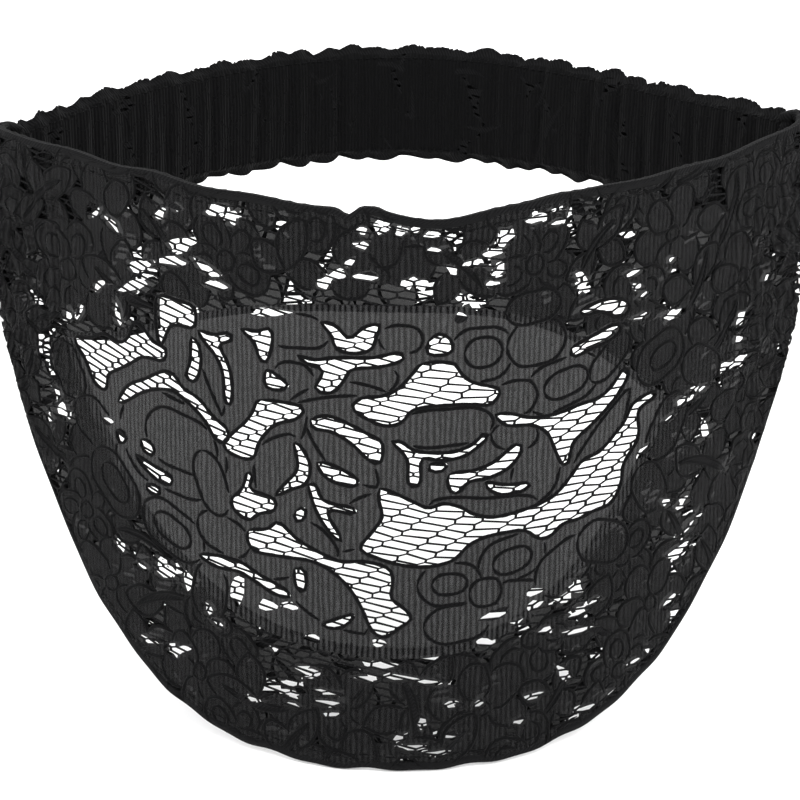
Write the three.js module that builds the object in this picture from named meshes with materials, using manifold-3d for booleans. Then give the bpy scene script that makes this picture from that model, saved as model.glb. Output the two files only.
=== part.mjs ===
// Lace head wrap: a wide pierced front panel with two inner facings, held round
// the back by a gathered lace casing over a flat elastic. Millimetres, +Z up.
// The origin is the middle of the rim, the front panel faces -Y, +X is its right.
import * as THREE from 'three'
import { mergeVertices } from 'three/addons/utils/BufferGeometryUtils.js'
import Module from 'manifold-3d'

// The loop seen from above
const HALF_WIDTH = 95
const HALF_DEPTH = 68
const LENS = 0.63 // draws the oval's flanks in, so that it turns tightly at the sides
const SEAM_ANGLE = 100 // degrees round from the front middle to each side seam
const PLAN_STEPS = 1440

// The front panel
const FRONT_HEIGHT = 136
const SEAM_HEIGHT = 33
const SEAM_RUN = 1 // level stretch of the lower edge before each seam
const TAPER_POWER = 3.5
const PANEL_WALL = 1
const PANEL_COLUMNS = 38

// Pleats that fan from each seam and die out towards the front
const PLEATS = 6
const PLEAT_DEPTH = 2
const PLEAT_REACH = 58
const PLEAT_FADE = 1.6
const ROWS_PER_PLEAT = 2

// The two facings behind the panel, and the clear lace between them
const FACING_WALL = 1
const RIM_FACING_DEPTH = 24
const HEM_FACING_DEPTH = 31
const CLEAR_LEFT_LENGTH = 92
const CLEAR_RIGHT_LENGTH = 70
const CLEAR_LEVEL = 0.46 // share of the panel's height at which the facings meet
const CLEAR_POWER = 2.4

// The back band
const ELASTIC_HEIGHT = 25
const ELASTIC_THICKNESS = 1.5
const CASING_WALL = 1
const FRILL_HEIGHT = 2
const FRILL_WALL = 1.2
const FRILL_WAVE = 1
const FRILL_RISE = 0.7
const GATHER_PITCH = 8
const GATHER_DEPTH = 1
const COLUMNS_PER_GATHER = 3

// Clearances
const LAYER_GAP = 0.3
const SEAM_GAP = 0.3
const ELASTIC_CLEARANCE = 0.3
const CUT_MARGIN = 1

// The net ground: cells in offset courses, with a bar between neighbours
const CELL_LENGTH = 8.6
const COURSE_RISE = 3.5
const NET_BAR = 0.9
const SMALLEST_GAP = 5 // square millimetres
const WINDOW_SIDES = 8

// Openings in the flowered lace that the net fills. across is a share of
// CLEAR_LEFT_LENGTH, down, long and wide are shares of FRONT_HEIGHT, and turn is
// in degrees from level, rising to the right.
const NET_WINDOWS = [
  { name: 'left_slant', across: -0.86, down: 0.37, long: 0.13, wide: 0.08, turn: -41 },
  { name: 'left_crescent', across: -0.7, down: 0.395, long: 0.14, wide: 0.034, turn: 22 },
  { name: 'left_sweep', across: -0.53, down: 0.4, long: 0.17, wide: 0.036, turn: -24 },
  { name: 'left_notch', across: -0.55, down: 0.27, long: 0.1, wide: 0.05, turn: -45 },
  { name: 'leaf_strip', across: -0.44, down: 0.32, long: 0.12, wide: 0.03, turn: -63 },
  { name: 'flower_top', across: -0.1, down: 0.205, long: 0.13, wide: 0.04, turn: 5 },
  { name: 'flower_bar', across: -0.12, down: 0.265, long: 0.19, wide: 0.03, turn: 5 },
  { name: 'middle_left', across: -0.3, down: 0.41, long: 0.17, wide: 0.06, turn: 48 },
  { name: 'stem_side', across: -0.13, down: 0.385, long: 0.13, wide: 0.03, turn: -12 },
  { name: 'leaf_side', across: -0.15, down: 0.46, long: 0.13, wide: 0.034, turn: -19 },
  { name: 'wedge', across: -0.24, down: 0.44, long: 0.08, wide: 0.04, turn: 86 },
  { name: 'middle_low', across: 0.05, down: 0.33, long: 0.28, wide: 0.055, turn: 2 },
  { name: 'middle_high', across: 0.12, down: 0.25, long: 0.15, wide: 0.08, turn: -50 },
  { name: 'right_top', across: 0.51, down: 0.25, long: 0.13, wide: 0.034, turn: 11 },
  { name: 'right_middle', across: 0.46, down: 0.4, long: 0.16, wide: 0.07, turn: 3 },
  { name: 'right_low', across: 0.54, down: 0.49, long: 0.15, wide: 0.08, turn: 17 },
  { name: 'right_edge', across: 0.6, down: 0.39, long: 0.13, wide: 0.04, turn: 54 },
  { name: 'petal_strip', across: 0.21, down: 0.45, long: 0.13, wide: 0.03, turn: 23 },
  { name: 'petal_low', across: 0.27, down: 0.5, long: 0.11, wide: 0.026, turn: -12 },
  { name: 'low_left', across: -0.37, down: 0.53, long: 0.12, wide: 0.05, turn: -4 },
  { name: 'low_left_tip', across: -0.25, down: 0.59, long: 0.16, wide: 0.045, turn: -12 },
  { name: 'low_middle', across: 0.03, down: 0.5, long: 0.17, wide: 0.065, turn: -8 },
  { name: 'low_centre', across: 0.04, down: 0.57, long: 0.17, wide: 0.07, turn: 12 },
  { name: 'low_right', across: 0.27, down: 0.535, long: 0.22, wide: 0.045, turn: -5 },
  { name: 'foot', across: -0.02, down: 0.69, long: 0.15, wide: 0.055, turn: -50 },
]

const wasm = await Module()
wasm.setup()

// The plan curve as angle and length along it, from the front middle half way round
function planPoint(angle) {
  const s = Math.sin(angle)
  const c = Math.cos(angle)
  return { x: HALF_WIDTH * s, y: -HALF_DEPTH * c * (1 - LENS * s * s) }
}

function measurePlan() {
  const rows = [{ angle: 0, length: 0 }]
  let last = planPoint(0)
  let length = 0
  for (let i = 1; i <= PLAN_STEPS; i += 1) {
    const angle = (Math.PI * i) / PLAN_STEPS
    const point = planPoint(angle)
    length += Math.hypot(point.x - last.x, point.y - last.y)
    rows.push({ angle, length })
    last = point
  }
  return rows
}

const PLAN = measurePlan()
const HALF_LOOP = PLAN[PLAN_STEPS].length
const SEAM_LENGTH = lengthAt(THREE.MathUtils.degToRad(SEAM_ANGLE))

function lengthAt(angle) {
  const step = (Math.abs(angle) / Math.PI) * PLAN_STEPS
  const low = Math.min(Math.floor(step), PLAN_STEPS - 1)
  const along = THREE.MathUtils.lerp(PLAN[low].length, PLAN[low + 1].length, step - low)
  return Math.sign(angle) * along
}

function angleAt(length) {
  const reach = Math.abs(length)
  let low = 0
  let high = PLAN_STEPS
  while (high - low > 1) {
    const middle = (low + high) >> 1
    if (PLAN[middle].length > reach) high = middle
    else low = middle
  }
  const span = PLAN[high].length - PLAN[low].length
  const angle = THREE.MathUtils.lerp(PLAN[low].angle, PLAN[high].angle, (reach - PLAN[low].length) / span)
  return Math.sign(length) * angle
}

// A point at a length round the loop, a drop below the rim and a depth inside it
function place(length, drop, inward) {
  const angle = angleAt(length)
  const s = Math.sin(angle)
  const c = Math.cos(angle)
  const point = planPoint(angle)
  const alongX = HALF_WIDTH * c
  const alongY = HALF_DEPTH * s * (1 - LENS * s * s + 2 * LENS * c * c)
  const speed = Math.hypot(alongX, alongY)
  return new THREE.Vector3(
    point.x - (alongY / speed) * inward,
    point.y + (alongX / speed) * inward,
    -drop,
  )
}

// The panel's height falls from the front to the seams
function heightAt(length) {
  const taper = Math.min(Math.abs(length) / (SEAM_LENGTH - SEAM_RUN), 1)
  return SEAM_HEIGHT + (FRONT_HEIGHT - SEAM_HEIGHT) * (1 - taper ** TAPER_POWER)
}

// How far a pleat stands out, at a length round the loop and a share down the panel
function pleatAt(length, share) {
  const reach = Math.max(0, Math.abs(length) - SEAM_LENGTH + PLEAT_REACH)
  const fade = (reach / PLEAT_REACH) ** PLEAT_FADE
  const wave = 0.5 - 0.5 * Math.cos(2 * Math.PI * PLEATS * share)
  return PLEAT_DEPTH * fade * wave
}

// A closed mesh from corner points and triangles
function solidFrom(points, triangles) {
  const geometry = new THREE.BufferGeometry()
  const flat = points.flatMap((p) => [p.x, p.y, p.z])
  geometry.setAttribute('position', new THREE.Float32BufferAttribute(flat, 3))
  geometry.setIndex(triangles.flat())
  return geometry
}

// A sheet with an outer and an inner face, each a grid of columns by rows
function sheet(columns, rows, outer, inner) {
  const points = []
  const triangles = []
  const across = rows + 1
  for (const face of [outer, inner]) {
    for (let i = 0; i <= columns; i += 1) {
      for (let j = 0; j <= rows; j += 1) points.push(face(i, j))
    }
  }
  const back = (columns + 1) * across
  const at = (i, j) => i * across + j
  const quad = (a, b, c, d) => triangles.push([a, b, c], [a, c, d])
  for (let i = 0; i < columns; i += 1) {
    for (let j = 0; j < rows; j += 1) {
      quad(at(i, j), at(i, j + 1), at(i + 1, j + 1), at(i + 1, j))
      quad(back + at(i, j), back + at(i + 1, j), back + at(i + 1, j + 1), back + at(i, j + 1))
    }
    quad(at(i, 0), at(i + 1, 0), back + at(i + 1, 0), back + at(i, 0))
    quad(at(i, rows), back + at(i, rows), back + at(i + 1, rows), at(i + 1, rows))
  }
  for (let j = 0; j < rows; j += 1) {
    quad(at(0, j), back + at(0, j), back + at(0, j + 1), at(0, j + 1))
    quad(at(columns, j), at(columns, j + 1), back + at(columns, j + 1), back + at(columns, j))
  }
  return solidFrom(points, triangles)
}

// A convex plug from its outline on the outer face and the same outline inside
function plug(outer, inner) {
  const count = outer.length
  const triangles = []
  for (let k = 1; k < count - 1; k += 1) {
    triangles.push([0, k, k + 1], [count, count + k + 1, count + k])
  }
  for (let k = 0; k < count; k += 1) {
    const next = (k + 1) % count
    triangles.push([k, count + k, count + next], [k, count + next, next])
  }
  return solidFrom([...outer, ...inner], triangles)
}

// Booleans
function toManifold(geometry) {
  geometry.deleteAttribute('normal')
  geometry.deleteAttribute('uv')
  const merged = mergeVertices(geometry)
  return new wasm.Manifold(new wasm.Mesh({
    numProp: 3,
    vertProperties: new Float32Array(merged.attributes.position.array),
    triVerts: new Uint32Array(merged.index.array),
  }))
}

function toGeometry(manifold) {
  const mesh = manifold.getMesh()
  const geometry = new THREE.BufferGeometry()
  geometry.setAttribute('position', new THREE.BufferAttribute(mesh.vertProperties, 3))
  geometry.setIndex(new THREE.BufferAttribute(mesh.triVerts, 1))
  return geometry
}

function cut(geometry, cutters) {
  let solid = toManifold(geometry)
  for (const cutter of cutters) solid = solid.subtract(toManifold(cutter))
  return toGeometry(solid)
}

// Panel columns lie at even angles, so they crowd where the loop turns tightly
function columnLength(i) {
  const angle = THREE.MathUtils.degToRad(SEAM_ANGLE) * ((2 * i) / PANEL_COLUMNS - 1)
  return lengthAt(angle)
}

// One layer of the panel, from a depth inside the loop and as thick as its wall
function panelLayer(inward, wall) {
  const rows = PLEATS * ROWS_PER_PLEAT
  const face = (depth) => (i, j) => {
    const length = columnLength(i)
    const share = j / rows
    return place(length, share * heightAt(length), depth - pleatAt(length, share))
  }
  return sheet(PANEL_COLUMNS, rows, face(inward), face(inward + wall))
}

// Net gaps: each window's outline is shared out among the cells of the net
function windowOutline(row) {
  const turn = THREE.MathUtils.degToRad(row.turn)
  const outline = []
  for (let k = 0; k < WINDOW_SIDES; k += 1) {
    const angle = (2 * Math.PI * k) / WINDOW_SIDES
    const along = 0.5 * row.long * FRONT_HEIGHT * Math.cos(angle)
    const off = 0.5 * row.wide * FRONT_HEIGHT * Math.sin(angle)
    outline.push({
      length: row.across * CLEAR_LEFT_LENGTH + along * Math.cos(turn) - off * Math.sin(turn),
      drop: row.down * FRONT_HEIGHT - along * Math.sin(turn) - off * Math.cos(turn),
    })
  }
  return outline
}

// The part of a convex outline on one side of a line of constant length or drop
function clip(outline, key, limit, side) {
  const kept = []
  const inside = (p) => side * (p[key] - limit) >= 0
  outline.forEach((point, k) => {
    const next = outline[(k + 1) % outline.length]
    if (inside(point)) kept.push(point)
    if (inside(point) !== inside(next)) {
      const share = (limit - point[key]) / (next[key] - point[key])
      kept.push({
        length: THREE.MathUtils.lerp(point.length, next.length, share),
        drop: THREE.MathUtils.lerp(point.drop, next.drop, share),
      })
    }
  })
  return kept
}

function outlineArea(outline) {
  let sum = 0
  outline.forEach((point, k) => {
    const next = outline[(k + 1) % outline.length]
    sum += point.length * next.drop - next.length * point.drop
  })
  return Math.abs(sum) / 2
}

function cellsIn(outline) {
  const cells = []
  const lengths = outline.map((p) => p.length)
  const drops = outline.map((p) => p.drop)
  const firstCourse = Math.floor(Math.min(...drops) / COURSE_RISE)
  const lastCourse = Math.floor(Math.max(...drops) / COURSE_RISE)
  for (let course = firstCourse; course <= lastCourse; course += 1) {
    const shift = course % 2 === 0 ? 0 : CELL_LENGTH / 2
    const first = Math.floor((Math.min(...lengths) - shift) / CELL_LENGTH)
    const last = Math.floor((Math.max(...lengths) - shift) / CELL_LENGTH)
    for (let cell = first; cell <= last; cell += 1) {
      const left = cell * CELL_LENGTH + shift
      let piece = clip(outline, 'length', left + NET_BAR / 2, 1)
      piece = clip(piece, 'length', left + CELL_LENGTH - NET_BAR / 2, -1)
      piece = clip(piece, 'drop', course * COURSE_RISE + NET_BAR / 2, 1)
      piece = clip(piece, 'drop', (course + 1) * COURSE_RISE - NET_BAR / 2, -1)
      if (piece.length > 2 && outlineArea(piece) > SMALLEST_GAP) cells.push(piece)
    }
  }
  return cells
}

function netCutters() {
  return NET_WINDOWS.flatMap((row) => cellsIn(windowOutline(row))).map((cell) => plug(
    cell.map((p) => place(p.length, p.drop, -PLEAT_DEPTH - CUT_MARGIN)),
    cell.map((p) => place(p.length, p.drop, PANEL_WALL + CUT_MARGIN)),
  ))
}

// The facings' inner edges bow towards each other and meet before the seams
function clearShare(length) {
  const reach = length < 0 ? CLEAR_LEFT_LENGTH : CLEAR_RIGHT_LENGTH
  return Math.min(Math.abs(length) / reach, 1) ** CLEAR_POWER
}

function rimFacingDrop(length) {
  const meeting = CLEAR_LEVEL * heightAt(length)
  return THREE.MathUtils.lerp(RIM_FACING_DEPTH, meeting, clearShare(length)) - LAYER_GAP / 2
}

function hemFacingDrop(length) {
  const meeting = CLEAR_LEVEL * heightAt(length)
  const start = FRONT_HEIGHT - HEM_FACING_DEPTH
  return THREE.MathUtils.lerp(start, meeting, clearShare(length)) + LAYER_GAP / 2
}

const FACING_INWARD = PANEL_WALL + LAYER_GAP

// A curved block through the facing layer, between two drops, past both seams
function facingCutter(topDrop, bottomDrop) {
  const stretch = 1 + CUT_MARGIN / SEAM_LENGTH
  const face = (inward) => (i, j) => {
    const length = columnLength(i)
    const drop = j === 0 ? topDrop(length) : bottomDrop(length)
    return place(length * stretch, drop, inward)
  }
  return sheet(
    PANEL_COLUMNS,
    1,
    face(FACING_INWARD - PLEAT_DEPTH - CUT_MARGIN),
    face(FACING_INWARD + FACING_WALL + CUT_MARGIN),
  )
}

function frontPanel() {
  return cut(panelLayer(0, PANEL_WALL), netCutters())
}

function rimFacing() {
  const below = facingCutter(rimFacingDrop, () => FRONT_HEIGHT + CUT_MARGIN)
  return cut(panelLayer(FACING_INWARD, FACING_WALL), [below])
}

function hemFacing() {
  const above = facingCutter(() => -CUT_MARGIN, hemFacingDrop)
  return cut(panelLayer(FACING_INWARD, FACING_WALL), [above])
}

// The back band runs from seam to seam round the back
const BAND_START = SEAM_LENGTH + SEAM_GAP
const BAND_LENGTH = 2 * (HALF_LOOP - BAND_START)
const GATHERS = Math.round(BAND_LENGTH / GATHER_PITCH)
const BAND_COLUMNS = GATHERS * COLUMNS_PER_GATHER
const POCKET_TOP = FRILL_HEIGHT
const POCKET_HEIGHT = ELASTIC_HEIGHT + 2 * ELASTIC_CLEARANCE
const POCKET_DEPTH = ELASTIC_THICKNESS + 2 * ELASTIC_CLEARANCE
const CASING_DEPTH = POCKET_DEPTH + 2 * CASING_WALL
const BAND_BOTTOM = POCKET_TOP + POCKET_HEIGHT + FRILL_HEIGHT

function bandLength(i) {
  const length = BAND_START + (BAND_LENGTH * i) / BAND_COLUMNS
  return length > HALF_LOOP ? length - 2 * HALF_LOOP : length
}

// The casing's outside at one column, as inward depth and drop, from the outer
// foot up over the top frill and down the inner side
function casingSection(i) {
  const turn = (2 * Math.PI * i) / COLUMNS_PER_GATHER
  const puff = (GATHER_DEPTH * (1 + Math.cos(turn))) / 2
  const lean = FRILL_WAVE * Math.sin(turn)
  const rise = FRILL_RISE * Math.cos(turn)
  const middle = CASING_DEPTH / 2
  const root = POCKET_TOP - CASING_WALL
  const foot = BAND_BOTTOM - root
  return [
    [0, foot],
    [-puff, BAND_BOTTOM / 2],
    [0, root],
    [middle + lean - FRILL_WALL / 2, -rise],
    [middle + lean + FRILL_WALL / 2, -rise],
    [CASING_DEPTH, root],
    [CASING_DEPTH + puff, BAND_BOTTOM / 2],
    [CASING_DEPTH, foot],
    [middle - lean + FRILL_WALL / 2, BAND_BOTTOM + rise],
    [middle - lean - FRILL_WALL / 2, BAND_BOTTOM + rise],
  ]
}

function pocketSection() {
  const near = CASING_WALL
  const far = CASING_WALL + POCKET_DEPTH
  const bottom = POCKET_TOP + POCKET_HEIGHT
  return [[near, bottom], [near, POCKET_TOP], [far, POCKET_TOP], [far, bottom]]
}

// A tube along the band: an outside ring and a pocket ring at each column
function backCasing() {
  const points = []
  const triangles = []
  const outside = casingSection(0).length
  const pocket = pocketSection().length
  const ring = outside + pocket
  for (let i = 0; i <= BAND_COLUMNS; i += 1) {
    for (const [inward, drop] of [...casingSection(i), ...pocketSection()]) {
      points.push(place(bandLength(i), drop, inward))
    }
  }
  const quad = (a, b, c, d) => triangles.push([a, b, c], [a, c, d])
  for (let i = 0; i < BAND_COLUMNS; i += 1) {
    const here = i * ring
    const there = here + ring
    for (let k = 0; k < outside; k += 1) {
      const next = (k + 1) % outside
      quad(here + k, there + k, there + next, here + next)
    }
    for (let k = outside; k < ring; k += 1) {
      const next = outside + ((k + 1 - outside) % pocket)
      quad(here + k, here + next, there + next, there + k)
    }
  }
  const toPoints = (rows) => rows.map(([inward, drop]) => new THREE.Vector2(inward, drop))
  const far = BAND_COLUMNS * ring
  for (const [column, base] of [[0, 0], [BAND_COLUMNS, far]]) {
    const faces = THREE.ShapeUtils.triangulateShape(
      toPoints(casingSection(column)),
      [toPoints(pocketSection())],
    )
    for (const [a, b, c] of faces) {
      if (base === 0) triangles.push([base + a, base + b, base + c])
      else triangles.push([base + a, base + c, base + b])
    }
  }
  return solidFrom(points, triangles)
}

function backElastic() {
  const top = POCKET_TOP + ELASTIC_CLEARANCE
  const near = CASING_WALL + ELASTIC_CLEARANCE
  const face = (inward) => (i, j) => place(bandLength(i), top + j * ELASTIC_HEIGHT, inward)
  return sheet(BAND_COLUMNS, 1, face(near), face(near + ELASTIC_THICKNESS))
}

// Materials
const lace = new THREE.MeshStandardMaterial({ color: 0x26262a, roughness: 0.85, metalness: 0 })
const facingLace = new THREE.MeshStandardMaterial({ color: 0x1e1e21, roughness: 0.85, metalness: 0 })
const gatheredLace = new THREE.MeshStandardMaterial({ color: 0x1a1a1c, roughness: 0.9, metalness: 0 })
const elasticWeave = new THREE.MeshStandardMaterial({ color: 0x121214, roughness: 0.7, metalness: 0 })

function piece(name, geometry, material) {
  const mesh = new THREE.Mesh(geometry, material)
  mesh.name = name
  return mesh
}

const group = new THREE.Group()
group.add(piece('front_panel', frontPanel(), lace))
group.add(piece('rim_facing', rimFacing(), facingLace))
group.add(piece('hem_facing', hemFacing(), facingLace))
group.add(piece('back_casing', backCasing(), gatheredLace))
group.add(piece('back_elastic', backElastic(), elasticWeave))

export default group
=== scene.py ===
"""A black lace head wrap: pierced floral panel, two facings and a gathered back band.

Lengths in the tables are millimetres on the flat lace. across runs round the loop
from the front middle, to the right, and down runs from the rim.
"""

import math

import bpy
import numpy as np
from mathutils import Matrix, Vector
from mathutils.geometry import delaunay_2d_cdt


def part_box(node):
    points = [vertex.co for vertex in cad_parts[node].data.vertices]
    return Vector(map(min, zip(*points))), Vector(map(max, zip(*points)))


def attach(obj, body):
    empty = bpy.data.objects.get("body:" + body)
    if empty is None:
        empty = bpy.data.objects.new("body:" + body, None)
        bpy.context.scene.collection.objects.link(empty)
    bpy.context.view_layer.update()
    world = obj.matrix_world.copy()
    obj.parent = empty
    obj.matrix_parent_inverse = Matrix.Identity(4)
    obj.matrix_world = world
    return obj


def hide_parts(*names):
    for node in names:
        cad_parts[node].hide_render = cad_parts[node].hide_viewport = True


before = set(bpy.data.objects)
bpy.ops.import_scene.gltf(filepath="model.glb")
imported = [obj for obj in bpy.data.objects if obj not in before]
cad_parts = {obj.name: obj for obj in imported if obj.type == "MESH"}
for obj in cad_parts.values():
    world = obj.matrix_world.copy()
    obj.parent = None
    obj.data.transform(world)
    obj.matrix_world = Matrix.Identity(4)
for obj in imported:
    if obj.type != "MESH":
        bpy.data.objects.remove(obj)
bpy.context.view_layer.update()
MM = 0.001

# The loop, as the frame's solids have it
PANEL_LOW = np.array(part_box("front_panel")[0]) / MM
ELASTIC_LOW, ELASTIC_HIGH = (np.array(c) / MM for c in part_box("back_elastic"))
HALF_WIDTH = 95.0
HALF_DEPTH = -PANEL_LOW[1]
LENS = 0.63
SEAM_ANGLE = math.radians(100)
PLAN_STEPS = 2000
FRONT_HEIGHT = -PANEL_LOW[2]
SEAM_HEIGHT = 33.0
SEAM_RUN = 1.0
TAPER_POWER = 3.5

# Pleats at the two side seams
PLEATS = 6
PLEAT_DEPTH = 2.3
PLEAT_REACH = 58.0
PLEAT_FADE = 1.6
FINE_PLEATS = 17
FINE_PLEAT_DEPTH = 0.5

# Upright folds that fall from the panel's upper corners
DRAPE_START = 84.0
DRAPE_PITCH = 4.8
DRAPE_DEPTH = 1.1

# How far the loop drops at its left seam and stands up at its right one
LEFT_SAG = 2.6
RIGHT_RISE = 1.6
SAG_REACH = 24.0

# The facings' inner edges
RIM_FACING_DEPTH = 24.0
HEM_FACING_DEPTH = 31.0
CLEAR_LEFT_LENGTH = 92.0
CLEAR_RIGHT_LENGTH = 70.0
CLEAR_LEVEL = 0.46
CLEAR_POWER = 2.4
FACING_GAP = 0.5

# The lace's thickness, and how deep each layer lies inside the panel's outer face
CLOTH = 0.4
PANEL_DEPTH = 0.25
FACING_DEPTH = 1.5

# Close stitch along the edges, and how far the folds reach in over it
EDGE_BAND = 1.3
CASING_EDGE_BAND = 1.8
FOLD_INSET = 0.9
FOLD_LAP = 1.9

# The rolls over the two joints: half sizes along the loop and in depth
SEAM_ROLL = (1.3, 3.2)
SEAM_ROLL_DEPTH = 1.3
SEAM_ROLL_SIDES = 12

# The back band
BAND_GAP = 0.3
GATHERS = 29
GATHER_DEPTH = 1.0
FRILL_WAVE = 1.0
FRILL_RISE = 0.7
FRILL_HEIGHT = 2.0
CASING_DEPTH = 4.1
GATHER_RATIO = 1.4
CASING_CORD_RADIUS = 0.3
ELASTIC_HEIGHT = ELASTIC_HIGH[2] - ELASTIC_LOW[2]
ELASTIC_THICKNESS = 1.5

# The casing's spare height, and how far inside its frills the stitch rows run
CASING_EASE = 0.6
CASING_STITCH = 0.6

# The net ground: the length and rise of its cells, and the thread between them
NET_SIZE = (6.3, 1.85, 0.34)
FACING_NET_SIZE = (6.3, 1.85, 0.65)
CASING_NET_SIZE = (4.6, 2.0, 1.2)
CELL_POINT = 0.7
NET_LEAN = 0.95
NET_TILT = 9.0

# Petals and stems
FLOWER_PITCH = 18.5
CASING_FLOWER_PITCH = 0.78 * FLOWER_PITCH
FLOWER_ROW_SHARE = 0.82
FLOWER_JITTER = 0.12
FLOWER_SIZE = 12.0
STEM_WIDTH = 2.0

# Raised outlines, and the share by which they thin at the side seams
CORD_RADIUS = 0.44
NET_CORD_RADIUS = 0.47
SEAM_CORD_SHARE = 0.45
CORD_SIDES = 5
CORD_STEP = 1.4
CORD_SWELL = 0.12
CORD_CLEARANCE = 0.5

# Rows of running stitch, from the seams and from the edges
STITCH_LENGTH = 2.2
STITCH_GAP = 0.9
STITCH_RADIUS = 0.22
STITCH_INSET = 2.0
HEM_STITCH = 3.4

# Steps between the points of a sheet
OUTLINE_STEP = 1.6
GRID_STEP = 3.2
SEAM_GRID_STEP = 1.2
GRID_ROWS = 44
CASING_GRID_STEPS = (1.4, 1.7)

# Millimetres of lace to one unit of its flat coordinates
UV_UNIT = 100

# Material slots of a lace sheet: close stitch, thread, and close stitch with a facing behind, painted
# darker: painted shade
SHEER_SLOT, THREAD_SLOT, BACKED_SHADE_SLOT = range(3)

# Dips and bumps of the rim: centre, half width and depth
RIM_DIPS = [(-11.5, 1.6, 1.6), (-6, 3, -0.9), (10, 12, 1.9), (36, 6, -0.8), (-62, 9, -0.7)]

SEED = 7

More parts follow.
